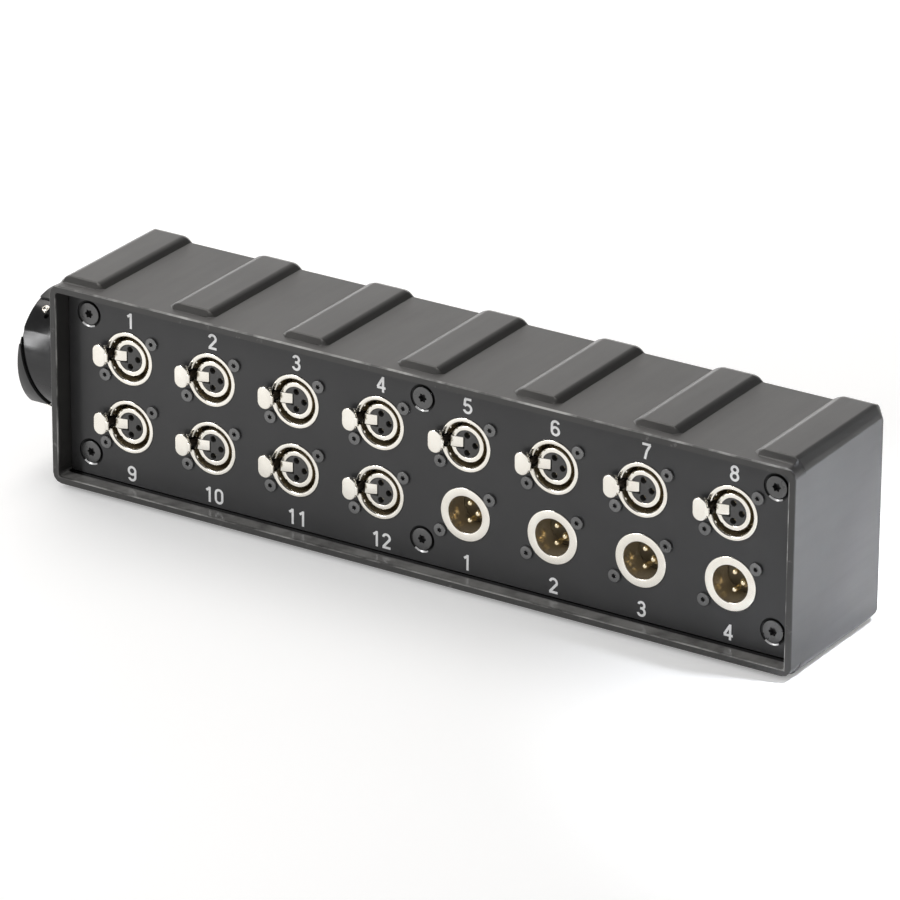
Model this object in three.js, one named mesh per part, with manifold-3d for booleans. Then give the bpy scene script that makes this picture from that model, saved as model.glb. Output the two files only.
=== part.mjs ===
// Stage box for a multicore snake: a moulded rubber housing with a recessed panel of XLR sockets
// and a round multipin connector on its left end.
// Millimetres, +Z up, X along the panel, -Y is the front. The origin is the middle of the underside.
import * as THREE from 'three';
import { ConvexGeometry } from 'three/addons/geometries/ConvexGeometry.js';
import { mergeVertices } from 'three/addons/utils/BufferGeometryUtils.js';
import Module from 'manifold-3d';

const mergeTolerance = 1e-4;
const wasm = await Module();
wasm.setup();

// Layout of the connectors; the housing's width and height follow from it
const columnCount = 8;
const columnPitch = 42;
const rowPitch = 31.2;
const lowerInputCount = 4;
const endMargin = 34;
const rowMargin = 29.9;

// Housing
const bodyWidth = (columnCount - 1) * columnPitch + 2 * endMargin;
const bodyHeight = rowPitch + 2 * rowMargin;
const bodyDepth = 73.5;
const bodyCornerRadius = 4.5;
const backEdgeChamfer = 1.8;
const rimWall = 3.1;
const rimInnerRadius = 1.6;
const shellWall = 5;
const backWall = 4;
const panelRecess = 9.5;

// Ribs that wrap the top, back and underside
const ribCount = 7;
const endRibCentre = 11.8;
const ribTopWidth = 17;
const ribHeight = 2.2;
const ribSlope = 3.2;
const ribFrontMargin = 5;
const ribBackRadius = 4.5;
const ribFootRadius = 2;
const endRibInset = 3.8;
const endRibFootDrop = 2;

// Panel
const panelThickness = 3;
const panelScrewInset = 13.8;

// Clearances
const seatGap = 0.3;
const overrun = 1;

// Panel screws, countersunk
const screwHeadRadius = 5.3;
const screwHeadDepth = 3;
const screwShankRadius = 2;
const screwLength = 15;
const screwSocketRadius = 1.7;
const screwSocketDepth = 1.8;
const screwBossMargin = 4.2;
const bossHeight = 15.6;

// Size D chassis connector, turned so that its latch is on the left
const ringRadius = 11.8;
const ringProud = 0.3;
const flangeLong = 31;
const flangeShort = 26;
const flangeThickness = 2;
const flangeScrewX = 12;
const flangeScrewZ = 9.5;
const connectorDepth = 15.5;
const insertLength = 19;
const contactCircleRadius = 3.95;
const contactTailRadius = 1;
const contactTailLength = 6;
const insertRadius = 6.05;

// Small screws of the connectors
const smallHeadRadius = 2.8;
const smallHeadHeight = 1.1;
const smallShankRadius = 1.5;

// Female connector
const grooveOuterRadius = 9.95;
const barrelOuterRadius = 7.95;
const barrelSetback = 0.6;
const grooveDepth = 12.5;
const socketRadius = 1.25;
const socketDepth = 10;

// Push latch of the female connector
const latchTravel = 1.5;
const tabProud = 4.2;
const tabThickness = 2;
const tabWidth = 6.3;
const tabHeight = 10;
const tabOuterEdge = 16.2;
const tabCornerRadius = 2.4;
const neckThickness = 1.4;
const neckOuterEdge = 11.5;
const neckHalfHeight = 2.2;
const latchBarDepth = 12.8;
const latchBarThickness = 1.5;
const tongueOuterEdge = 6.1;
const tongueInnerEdge = 1.6;
const tongueHalfHeight = 2;
const tongueTipDepth = 2.8;
const tongueSetback = 1.2;
const latchClearance = 0.4;
const ringNotchHalfHeight = 4.1;

// Male connector
const maleBoreRadius = 8.15;
const maleFloorDepth = 14;
const pinRadius = 1.2;
const pinSetback = 3;
const maleDiscThickness = 1.7;

// Round multipin connector on the left end
const multipinRadius = 25.8;
const multipinWall = 2.8;
const multipinBoreRadius = multipinRadius - multipinWall;
const multipinLength = 25;
const multipinFlangeMargin = 0.7;
const multipinFlangeSide = 2 * (multipinRadius + multipinFlangeMargin);
const multipinFlangeThickness = 3;
const multipinSeatWidth = 3;
const multipinNeckRadius = multipinBoreRadius - multipinSeatWidth;
const multipinNeckWall = 2.4;
const multipinNeckBore = multipinNeckRadius - multipinNeckWall;
const multipinNeckLength = 9;
const multipinSeatDepth = 16;
const multipinDiscThickness = 4;
const multipinStemRadius = multipinNeckBore - seatGap;
const multipinScrewInset = 4.7;
const multipinScrewOffset = multipinFlangeSide / 2 - multipinScrewInset;
const multipinScrewHeadRadius = 3.2;
const multipinScrewHeadHeight = 2;
const multipinScrewShankRadius = 1.7;
const multipinScrewLength = 4.5;
const contactRings = 4;
const contactMargin = 4.6;
const contactPitch = (multipinBoreRadius - contactMargin) / contactRings;
const contactRadius = 0.8;
const contactLength = 6;
const rampWidth = 1.6;
const rampDepth = 1.2;
const rampCount = 3;
const rampEntryAngle = 25;
const rampSweepAngle = 78;
const rampRise = 10.4;
const rampOverlap = 1.2;
const studRadius = 1.8;
const studProud = 0.6;
const studAngle = 58;
const studSetback = 6.5;

// Wiring looms behind the two rows
const loomRadius = 4;
const loomMeetOffset = 6;
const loomTurnLength = 26;
const loomRunIn = 12;

// Facets
const shellSegments = 12;
const smallSegments = 6;
const tailSegments = 4;
const screwSegments = 10;
const multipinSegments = 24;
const rampSteps = 8;
const studSegments = 8;
const cornerSegments = 2;
const ribCornerSegments = 3;
const loomSides = 8;
const loomSteps = 18;

// Colours
const rubberBlack = { color: 0x2b2a28, roughness: 0.62, metalness: 0 };
const panelBlack = { color: 0x1d1d1f, roughness: 0.45, metalness: 0.2 };
const screwBlack = { color: 0x2a2a2c, roughness: 0.35, metalness: 0.8 };
const nickel = { color: 0xcfc6b4, roughness: 0.22, metalness: 1 };
const insertBlack = { color: 0x151515, roughness: 0.5, metalness: 0 };
const anodisedBlack = { color: 0x1a1a1c, roughness: 0.25, metalness: 0.6 };
const cableGrey = { color: 0x303032, roughness: 0.7, metalness: 0 };

const centreZ = ribHeight + bodyHeight / 2;
const frontY = -bodyDepth / 2;
const backY = bodyDepth / 2;
const panelY = frontY + panelRecess;
const leftX = -bodyWidth / 2;
const group = new THREE.Group();

// Solids

function toSolid(geometry) {
  const bare = geometry.index ? geometry.toNonIndexed() : geometry.clone();
  bare.deleteAttribute('normal');
  bare.deleteAttribute('uv');
  const merged = mergeVertices(bare, mergeTolerance);
  const index = merged.index.array;
  const kept = [];
  for (let i = 0; i < index.length; i += 3) {
    const [a, b, c] = [index[i], index[i + 1], index[i + 2]];
    if (a !== b && b !== c && a !== c) kept.push(a, b, c);
  }
  const mesh = new wasm.Mesh({
    numProp: 3,
    vertProperties: new Float32Array(merged.attributes.position.array),
    triVerts: new Uint32Array(kept),
  });
  return new wasm.Manifold(mesh);
}

function toGeometry(solid) {
  const mesh = solid.getMesh();
  const geometry = new THREE.BufferGeometry();
  geometry.setAttribute('position', new THREE.BufferAttribute(mesh.vertProperties, mesh.numProp));
  geometry.setIndex(new THREE.BufferAttribute(mesh.triVerts, 1));
  return geometry;
}

function addPart(name, solid, look) {
  const geometry = toGeometry(solid);
  geometry.computeVertexNormals();
  const mesh = new THREE.Mesh(geometry, new THREE.MeshStandardMaterial(look));
  mesh.name = name;
  group.add(mesh);
}

function join(solids) {
  return solids.reduce((sum, solid) => sum.add(solid));
}

function cut(solid, cutters) {
  return cutters.reduce((rest, cutter) => rest.subtract(cutter), solid);
}

// A box given by its low and high corners
function block(low, high) {
  const size = high.map((value, i) => value - low[i]);
  const geometry = new THREE.BoxGeometry(...size);
  geometry.translate(...low.map((value, i) => value + size[i] / 2));
  return toSolid(geometry);
}

// A convex solid round a set of points
function convexSolid(points) {
  return toSolid(new ConvexGeometry(points));
}

// A solid turned about the depth axis; each profile point is [radius, depth behind the panel face]
function turned(profile, segments, x, z) {
  const points = profile.map(([radius, depth]) => new THREE.Vector2(radius, depth));
  const geometry = new THREE.LatheGeometry(points, segments);
  geometry.translate(x, panelY, z);
  return toSolid(geometry);
}

// A flat outline in X and Z, extruded from one depth behind the panel face to another
function plate(shape, fromDepth, toDepth, x, z) {
  const options = { depth: toDepth - fromDepth, bevelEnabled: false, curveSegments: cornerSegments };
  const geometry = new THREE.ExtrudeGeometry(shape, options);
  geometry.rotateX(Math.PI / 2);
  geometry.translate(x, panelY + toDepth, z);
  return toSolid(geometry);
}

function roundedRectangle(width, height, radius) {
  const shape = new THREE.Shape();
  const x = width / 2;
  const y = height / 2;
  shape.moveTo(-x + radius, -y);
  shape.lineTo(x - radius, -y);
  shape.absarc(x - radius, -y + radius, radius, -Math.PI / 2, 0);
  shape.lineTo(x, y - radius);
  shape.absarc(x - radius, y - radius, radius, 0, Math.PI / 2);
  shape.lineTo(-x + radius, y);
  shape.absarc(-x + radius, y - radius, radius, Math.PI / 2, Math.PI);
  shape.lineTo(-x, -y + radius);
  shape.absarc(-x + radius, -y + radius, radius, Math.PI, Math.PI * 1.5);
  return shape;
}

function circleHole(x, y, radius, segments) {
  const path = new THREE.Path();
  for (let i = 0; i <= segments; i += 1) {
    const angle = (i / segments) * Math.PI * 2;
    const px = x + radius * Math.sin(angle);
    const py = y - radius * Math.cos(angle);
    if (i === 0) path.moveTo(px, py);
    else path.lineTo(px, py);
  }
  return path;
}

// Layout

function connectorPlaces() {
  const places = [];
  for (let column = 0; column < columnCount; column += 1) {
    const x = (column - (columnCount - 1) / 2) * columnPitch;
    places.push({ kind: 'in', number: column + 1, x, z: centreZ + rowPitch / 2 });
    const isInput = column < lowerInputCount;
    const number = isInput ? columnCount + column + 1 : column - lowerInputCount + 1;
    places.push({ kind: isInput ? 'in' : 'out', number, x, z: centreZ - rowPitch / 2 });
  }
  return places;
}

function panelScrewPlaces() {
  const places = [];
  const endX = bodyWidth / 2 - panelScrewInset;
  const rowZ = bodyHeight / 2 - panelScrewInset;
  for (const x of [-endX, 0, endX]) {
    for (const side of [1, -1]) places.push({ x, z: centreZ + side * rowZ });
  }
  return places;
}

function flangeScrewPlaces({ x, z }) {
  return [[x + flangeScrewX, z + flangeScrewZ], [x - flangeScrewX, z - flangeScrewZ]];
}

// Housing

// Points round the Y-Z outline of a rib, with its back corners rounded
function ribOutline(x, footFrontY, topFrontY, halfHeight, rearY, radius) {
  const points = [];
  for (const side of [1, -1]) {
    points.push(new THREE.Vector3(x, footFrontY, centreZ + side * bodyHeight / 2 - side * endRibFootDrop));
    points.push(new THREE.Vector3(x, topFrontY, centreZ + side * halfHeight));
    for (let i = 0; i <= ribCornerSegments; i += 1) {
      const angle = (i / ribCornerSegments) * Math.PI / 2;
      const y = rearY - radius + radius * Math.sin(angle);
      const z = halfHeight - radius + radius * Math.cos(angle);
      points.push(new THREE.Vector3(x, y, centreZ + side * z));
    }
  }
  return points;
}

function ribSolid(index) {
  const middle = (ribCount - 1) / 2;
  const pitch = (bodyWidth - 2 * endRibCentre) / (ribCount - 1);
  const centreX = (index - middle) * pitch;
  const footY = frontY + ribFrontMargin;
  const footHalf = bodyHeight / 2;
  const topHalf = footHalf + ribHeight;
  const points = [];
  for (const side of [-1, 1]) {
    const outside = Math.abs(index - middle) === middle && Math.sign(index - middle) === side;
    const footX = outside ? side * bodyWidth / 2 : centreX + side * (ribTopWidth / 2 + ribSlope);
    const topX = outside ? side * (bodyWidth / 2 - endRibInset) : centreX + side * ribTopWidth / 2;
    const sink = outside ? endRibFootDrop : 0;
    const sideFootY = footY + ribSlope;
    points.push(...ribOutline(footX, sideFootY, sideFootY, footHalf - sink, backY - sink, ribFootRadius));
    points.push(...ribOutline(topX, footY, footY + ribSlope, topHalf, backY + ribHeight, ribBackRadius));
    points.push(new THREE.Vector3(topX, footY, centreZ + footHalf));
    points.push(new THREE.Vector3(topX, footY, centreZ - footHalf));
  }
  return convexSolid(points);
}

function bodySolid() {
  const points = [];
  const addLoop = (inset, y) => {
    const halfX = bodyWidth / 2 - inset;
    const halfZ = bodyHeight / 2 - inset;
    const radius = bodyCornerRadius - inset;
    for (const sideX of [-1, 1]) {
      for (const sideZ of [-1, 1]) {
        for (let i = 0; i <= ribCornerSegments; i += 1) {
          const angle = (i / ribCornerSegments) * Math.PI / 2;
          const x = sideX * (halfX - radius + radius * Math.sin(angle));
          const z = sideZ * (halfZ - radius + radius * Math.cos(angle));
          points.push(new THREE.Vector3(x, y, centreZ + z));
        }
      }
    }
  };
  addLoop(0, frontY);
  addLoop(0, backY - backEdgeChamfer);
  addLoop(backEdgeChamfer, backY);
  return convexSolid(points);
}

// The blocks that stay in the cavity to take the panel screws
function screwBosses(cavityFront, cavityBack) {
  const bosses = [];
  for (const { x, z } of panelScrewPlaces()) {
    const side = Math.sign(z - centreZ);
    const end = Math.sign(x);
    const inner = bodyWidth / 2 - shellWall + overrun;
    const lowX = end < 0 ? -inner : x - screwBossMargin;
    const highX = end > 0 ? inner : x + screwBossMargin;
    const wallZ = bodyHeight / 2 - shellWall + overrun;
    const innerZ = wallZ - bossHeight;
    const zs = [centreZ + side * innerZ, centreZ + side * wallZ].sort((a, b) => a - b);
    bosses.push(block([lowX, cavityFront - overrun, zs[0]], [highX, cavityBack + overrun, zs[1]]));
  }
  return bosses;
}

function buildHousing() {
  const ribs = Array.from({ length: ribCount }, (_, index) => ribSolid(index));
  const outer = join([bodySolid(), ...ribs]);
  const ledge = panelThickness + seatGap;
  const recess = roundedRectangle(bodyWidth - 2 * rimWall, bodyHeight - 2 * rimWall, rimInnerRadius);
  const frontSpace = plate(recess, -panelRecess - overrun, ledge, 0, centreZ);
  const innerX = bodyWidth / 2 - shellWall;
  const innerZ = bodyHeight / 2 - shellWall;
  const cavityFront = panelY + ledge - overrun;
  const cavityBack = backY - backWall;
  const low = [-innerX, cavityFront, centreZ - innerZ];
  const high = [innerX, cavityBack, centreZ + innerZ];
  const cavity = cut(block(low, high), screwBosses(panelY + ledge + overrun, cavityBack));
  const hole = multipinTurned([
    [0, -overrun], [multipinNeckRadius + seatGap, -overrun],
    [multipinNeckRadius + seatGap, shellWall + overrun], [0, shellWall + overrun],
  ]);
  const pilotRadius = screwShankRadius + seatGap;
  const pilots = panelScrewPlaces().map(({ x, z }) => turned([
    [0, ledge - overrun], [pilotRadius, ledge - overrun],
    [pilotRadius, screwLength + overrun], [0, screwLength + overrun],
  ], screwSegments, x, z));
  const flangePilots = multipinScrewPlaces().map(([y, z]) => alongX([
    [0, -overrun], [multipinScrewShankRadius + seatGap, -overrun],
    [multipinScrewShankRadius + seatGap, multipinScrewLength], [0, multipinScrewLength],
  ], smallSegments, leftX, y, z));
  addPart('rubber_housing', cut(outer, [frontSpace, cavity, hole, ...pilots, ...flangePilots]), rubberBlack);
}

// Panel and its screws

function buildPanel() {
  const width = bodyWidth - 2 * rimWall - 2 * seatGap;
  const height = bodyHeight - 2 * rimWall - 2 * seatGap;
  const shape = roundedRectangle(width, height, rimInnerRadius);
  const addHole = (x, z, radius, segments) => {
    shape.holes.push(circleHole(x, z - centreZ, radius, segments));
  };
  for (const place of connectorPlaces()) {
    addHole(place.x, place.z, ringRadius + seatGap, shellSegments);
    for (const [x, z] of flangeScrewPlaces(place)) addHole(x, z, smallShankRadius + seatGap, smallSegments);
  }
  const sinks = panelScrewPlaces().map(({ x, z }) => turned([
    [0, -overrun],
    [screwHeadRadius + overrun + seatGap, -overrun],
    [screwShankRadius + seatGap, panelThickness + seatGap],
    [screwShankRadius + seatGap, panelThickness + overrun],
    [0, panelThickness + overrun],
  ], screwSegments, x, z));
  addPart('front_panel', cut(plate(shape, 0, panelThickness, 0, centreZ), sinks), panelBlack);
}

function buildPanelScrews() {
  panelScrewPlaces().forEach(({ x, z }, index) => {
    const screw = turned([
      [0, screwSocketDepth],
      [screwSocketRadius, screwSocketDepth],
      [screwSocketRadius, 0],
      [screwHeadRadius, 0],
      [screwShankRadius, screwHeadDepth],
      [screwShankRadius, screwLength],
      [0, screwLength],
    ], screwSegments, x, z);
    addPart(`panel_screw_${index + 1}`, screw, screwBlack);
  });
}

// XLR connectors

function smallScrew(x, z) {
  const shankEnd = panelThickness + seatGap + flangeThickness / 2;
  return turned([
    [0, -seatGap - smallHeadHeight],
    [smallHeadRadius, -seatGap - smallHeadHeight],
    [smallHeadRadius, -seatGap],
    [smallShankRadius, -seatGap],
    [smallShankRadius, shankEnd],
    [0, shankEnd],
  ], smallSegments, x, z);
}

// The square flange behind the panel with its two screws
function flangeAndScrews(place) {
  const shape = new THREE.Shape();
  const x = flangeLong / 2;
  const y = flangeShort / 2;
  shape.moveTo(-x, -y);
  shape.lineTo(x, -y);
  shape.lineTo(x, y);
  shape.lineTo(-x, y);
  shape.holes.push(circleHole(0, 0, (ringRadius + grooveOuterRadius) / 2, shellSegments));
  const front = panelThickness + seatGap;
  const flange = plate(shape, front, front + flangeThickness, place.x, place.z);
  return join([flange, ...flangeScrewPlaces(place).map(([sx, sz]) => smallScrew(sx, sz))]);
}

function latchChannel({ x, z }) {
  const side = latchClearance;
  const halfHeight = neckHalfHeight + side;
  const through = block(
    [x - neckOuterEdge - side, panelY - overrun, z - halfHeight],
    [x - tongueInnerEdge + side, panelY + connectorDepth + overrun, z + halfHeight],
  );
  const notch = block(
    [x - ringRadius - overrun, panelY - overrun, z - ringNotchHalfHeight],
    [x - grooveOuterRadius + side, panelY + panelThickness, z + ringNotchHalfHeight],
  );
  return [through, notch];
}

function femaleShell(place) {
  const bore = insertRadius + seatGap;
  const shell = turned([
    [bore, barrelSetback],
    [barrelOuterRadius, barrelSetback],
    [barrelOuterRadius, grooveDepth],
    [grooveOuterRadius, grooveDepth],
    [grooveOuterRadius, -ringProud],
    [ringRadius, -ringProud],
    [ringRadius, connectorDepth],
    [bore, connectorDepth],
    [bore, barrelSetback],
  ], shellSegments, place.x, place.z);
  return cut(join([shell, flangeAndScrews(place)]), latchChannel(place));
}

function contactPlaces({ x, z }) {
  return [0, 1, 3].map((quarter) => {
    const angle = quarter * Math.PI / 2;
    return [x + contactCircleRadius * Math.cos(angle), z + contactCircleRadius * Math.sin(angle)];
  });
}

function contactTails(place) {
  return contactPlaces(place).map(([x, z]) => turned([
    [0, insertLength - overrun], [contactTailRadius, insertLength - overrun],
    [contactTailRadius, insertLength + contactTailLength], [0, insertLength + contactTailLength],
  ], tailSegments, x, z));
}

function femaleInsert(place) {
  const face = barrelSetback + seatGap;
  const core = turned([
    [0, face], [insertRadius, face], [insertRadius, insertLength], [0, insertLength],
  ], shellSegments, place.x, place.z);
  const sockets = contactPlaces(place).map(([x, z]) => turned([
    [0, face - overrun], [socketRadius, face - overrun],
    [socketRadius, face + socketDepth], [0, face + socketDepth],
  ], smallSegments, x, z));
  const pocketDepth = latchBarDepth + latchBarThickness + latchTravel + latchClearance;
  const pocket = block(
    [place.x - insertRadius - overrun, panelY, place.z - tongueHalfHeight - latchClearance],
    [place.x - tongueInnerEdge + latchClearance, panelY + pocketDepth,
      place.z + tongueHalfHeight + latchClearance],
  );
  return cut(join([core, ...contactTails(place)]), [...sockets, pocket]);
}

function latchSolid({ x, z }) {
  const tab = roundedRectangle(tabWidth, tabHeight, tabCornerRadius);
  const tabBack = -tabProud + tabThickness;
  const barBack = latchBarDepth + latchBarThickness;
  const neckInner = neckOuterEdge - neckThickness;
  const stemInner = tongueOuterEdge - neckThickness;
  return join([
    plate(tab, -tabProud, tabBack, x - tabOuterEdge + tabWidth / 2, z),
    block([x - neckOuterEdge, panelY - tabProud + tabThickness / 2, z - neckHalfHeight],
      [x - neckInner, panelY + barBack, z + neckHalfHeight]),
    block([x - neckOuterEdge, panelY + latchBarDepth, z - tongueHalfHeight],
      [x - stemInner, panelY + barBack, z + tongueHalfHeight]),
    block([x - tongueOuterEdge, panelY + tongueSetback, z - tongueHalfHeight],
      [x - stemInner, panelY + barBack, z + tongueHalfHeight]),
    block([x - tongueOuterEdge, panelY + tongueSetback, z - tongueHalfHeight],
      [x - tongueInnerEdge, panelY + tongueSetback + tongueTipDepth, z + tongueHalfHeight]),
  ]);
}

function maleShell(place) {
  const bore = insertRadius + seatGap;
  const shell = turned([
    [maleBoreRadius, -ringProud],
    [ringRadius, -ringProud],
    [ringRadius, connectorDepth],
    [bore, connectorDepth],
    [bore, maleFloorDepth],
    [maleBoreRadius, maleFloorDepth],
    [maleBoreRadius, -ringProud],
  ], shellSegments, place.x, place.z);
  return join([shell, flangeAndScrews(place)]);
}

function maleInsert(place) {
  const discBack = maleFloorDepth - seatGap;
  const discFront = discBack - maleDiscThickness;
  const discRadius = maleBoreRadius - seatGap;
  const core = turned([
    [0, discFront], [discRadius, discFront], [discRadius, discBack],
    [insertRadius, discBack], [insertRadius, insertLength], [0, insertLength],
  ], shellSegments, place.x, place.z);
  const pins = contactPlaces(place).map(([x, z]) => turned([
    [0, pinSetback], [pinRadius / 2, pinSetback], [pinRadius, pinSetback + pinRadius],
    [pinRadius, discFront + overrun], [0, discFront + overrun],
  ], smallSegments, x, z));
  return join([core, ...pins, ...contactTails(place)]);
}

function buildConnectors() {
  for (const place of connectorPlaces()) {
    const name = `xlr_${place.kind}_${place.number}`;
    if (place.kind === 'in') {
      addPart(`${name}_shell`, femaleShell(place), nickel);
      addPart(`${name}_insert`, femaleInsert(place), insertBlack);
      addPart(`${name}_latch`, latchSolid(place), nickel);
    } else {
      addPart(`${name}_shell`, maleShell(place), nickel);
      addPart(`${name}_insert`, maleInsert(place), insertBlack);
    }
  }
}

// Multipin connector; its profiles are [radius, distance inwards from the housing's left face]

function alongX(profile, segments, x, y, z) {
  const points = profile.map(([radius, distance]) => new THREE.Vector2(radius, distance));
  const geometry = new THREE.LatheGeometry(points, segments);
  geometry.rotateZ(-Math.PI / 2);
  geometry.translate(x, y, z);
  return toSolid(geometry);
}

function multipinTurned(profile) {
  return alongX(profile, multipinSegments, leftX, 0, centreZ);
}

function multipinScrewPlaces() {
  const places = [];
  for (const sideY of [-1, 1]) {
    for (const sideZ of [-1, 1]) {
      places.push([sideY * multipinScrewOffset, centreZ + sideZ * multipinScrewOffset]);
    }
  }
  return places;
}

// One helical ramp groove, running from the mouth towards the flange
class RampCurve extends THREE.Curve {
  constructor(startDegrees) {
    super();
    this.startDegrees = startDegrees;
  }

  getPoint(t, target = new THREE.Vector3()) {
    const angle = THREE.MathUtils.degToRad(this.startDegrees - t * rampSweepAngle);
    const mouthX = leftX - multipinLength - rampOverlap;
    const y = -multipinRadius * Math.cos(angle);
    const z = centreZ + multipinRadius * Math.sin(angle);
    return target.set(mouthX + t * (rampRise + rampOverlap), y, z);
  }
}

// The groove's cutter: a square section swept along the ramp, always standing out from the axis
function rampCutter(startDegrees, steps) {
  const curve = new RampCurve(startDegrees);
  const rings = [];
  for (let i = 0; i <= steps; i += 1) {
    const point = curve.getPoint(i / steps);
    const outward = new THREE.Vector3(0, point.y, point.z - centreZ).normalize();
    const ring = [];
    for (const [along, out] of [[-1, -1], [1, -1], [1, 1], [-1, 1]]) {
      const corner = point.clone().addScaledVector(outward, out * rampDepth);
      corner.x += along * rampWidth / 2;
      ring.push(corner);
    }
    rings.push(ring);
  }
  const corners = [];
  const quad = (a, b, c, d) => corners.push(a, b, c, a, c, d);
  for (let i = 0; i < steps; i += 1) {
    for (let k = 0; k < 4; k += 1) {
      const next = (k + 1) % 4;
      quad(rings[i][k], rings[i][next], rings[i + 1][next], rings[i + 1][k]);
    }
  }
  quad(rings[0][3], rings[0][2], rings[0][1], rings[0][0]);
  const last = rings[steps];
  quad(last[0], last[1], last[2], last[3]);
  return toSolid(new THREE.BufferGeometry().setFromPoints(corners));
}

// A short radial stud on the barrel
function stud(degrees) {
  const angle = THREE.MathUtils.degToRad(degrees);
  const wall = multipinRadius - multipinBoreRadius;
  const length = wall / 2 + studProud;
  const geometry = new THREE.CylinderGeometry(studRadius, studRadius, length, studSegments);
  geometry.translate(0, multipinRadius + studProud - length / 2, 0);
  geometry.rotateX(Math.PI - angle);
  geometry.translate(leftX - multipinLength + studSetback, 0, centreZ);
  return toSolid(geometry);
}

function buildMultipin() {
  const seatX = multipinSeatDepth - multipinLength;
  const flangeFace = -seatGap - multipinFlangeThickness;
  const tube = multipinTurned([
    [multipinBoreRadius, -multipinLength],
    [multipinRadius, -multipinLength],
    [multipinRadius, flangeFace + overrun],
    [multipinNeckRadius, flangeFace + overrun],
    [multipinNeckRadius, multipinNeckLength],
    [multipinNeckBore, multipinNeckLength],
    [multipinNeckBore, seatX],
    [multipinBoreRadius, seatX],
    [multipinBoreRadius, -multipinLength],
  ]);
  const outline = roundedRectangle(multipinFlangeSide, multipinFlangeSide, bodyCornerRadius);
  outline.holes.push(circleHole(0, 0, (multipinNeckBore + multipinNeckRadius) / 2, multipinSegments));
  for (const [y, z] of multipinScrewPlaces()) {
    outline.holes.push(circleHole(y, z - centreZ, multipinScrewShankRadius + seatGap, smallSegments));
  }
  const flangeGeometry = new THREE.ExtrudeGeometry(outline, {
    depth: multipinFlangeThickness, bevelEnabled: false, curveSegments: cornerSegments,
  });
  flangeGeometry.rotateX(Math.PI / 2);
  flangeGeometry.rotateZ(Math.PI / 2);
  flangeGeometry.translate(leftX + flangeFace, 0, centreZ);
  const ramps = [];
  const studs = [];
  for (let i = 0; i < rampCount; i += 1) {
    const turn = (360 / rampCount) * i;
    ramps.push(rampCutter(rampEntryAngle + turn, rampSteps));
    studs.push(stud(studAngle + turn));
  }
  const shell = cut(join([tube, toSolid(flangeGeometry)]), ramps);
  addPart('multipin_shell', join([shell, ...studs]), anodisedBlack);

  const discBack = seatX - seatGap;
  const discFront = discBack - multipinDiscThickness;
  const core = multipinTurned([
    [0, discFront], [multipinBoreRadius - seatGap, discFront], [multipinBoreRadius - seatGap, discBack],
    [multipinStemRadius, discBack], [multipinStemRadius, multipinNeckLength], [0, multipinNeckLength],
  ]);
  const contacts = contactGrid().map(([y, z]) => alongX([
    [0, discFront - contactLength], [contactRadius, discFront - contactLength],
    [contactRadius, discFront + overrun], [0, discFront + overrun],
  ], tailSegments, leftX, y, z));
  addPart('multipin_insert', join([core, ...contacts]), insertBlack);
}

// Contacts in rings round a middle one
function contactGrid() {
  const places = [[0, centreZ]];
  for (let ring = 1; ring <= contactRings; ring += 1) {
    const count = ring * 6;
    for (let i = 0; i < count; i += 1) {
      const angle = (i / count) * Math.PI * 2;
      places.push([ring * contactPitch * Math.cos(angle), centreZ + ring * contactPitch * Math.sin(angle)]);
    }
  }
  return places;
}

function buildMultipinScrews() {
  const seat = -2 * seatGap - multipinFlangeThickness;
  multipinScrewPlaces().forEach(([y, z], index) => {
    const screw = alongX([
      [0, seat - multipinScrewHeadHeight],
      [multipinScrewHeadRadius, seat - multipinScrewHeadHeight / 2],
      [multipinScrewHeadRadius, seat],
      [multipinScrewShankRadius, seat],
      [multipinScrewShankRadius, multipinScrewLength - overrun],
      [0, multipinScrewLength - overrun],
    ], smallSegments, leftX, y, z);
    addPart(`multipin_screw_${index + 1}`, screw, screwBlack);
  });
}

// Wiring

function buildLooms() {
  const tailDepth = insertLength + contactTailLength;
  const y = panelY + tailDepth + seatGap + loomRadius;
  const startX = leftX + multipinNeckLength + seatGap;
  const endX = ((columnCount - 1) / 2) * columnPitch;
  for (const [name, side] of [['upper', 1], ['lower', -1]]) {
    const z = centreZ + side * rowPitch / 2;
    const meetZ = centreZ + side * loomMeetOffset;
    const route = new THREE.CatmullRomCurve3([
      new THREE.Vector3(startX, 0, meetZ),
      new THREE.Vector3(startX + loomRadius, 0, meetZ),
      new THREE.Vector3(startX + loomTurnLength, y, z),
      new THREE.Vector3(startX + loomTurnLength + loomRunIn, y, z),
      new THREE.Vector3(endX, y, z),
    ], false, 'centripetal');
    const section = new THREE.Shape();
    for (let i = 0; i < loomSides; i += 1) {
      const angle = (i / loomSides) * Math.PI * 2;
      const point = [loomRadius * Math.cos(angle), loomRadius * Math.sin(angle)];
      if (i === 0) section.moveTo(...point);
      else section.lineTo(...point);
    }
    const geometry = new THREE.ExtrudeGeometry(section, { steps: loomSteps, extrudePath: route });
    addPart(`wiring_loom_${name}`, toSolid(geometry), cableGrey);
  }
}

buildHousing();
buildPanel();
buildPanelScrews();
buildConnectors();
buildMultipin();
buildMultipinScrews();
buildLooms();

export default group;
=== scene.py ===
import math

import bmesh
import bpy
from mathutils import Matrix, Vector


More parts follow.
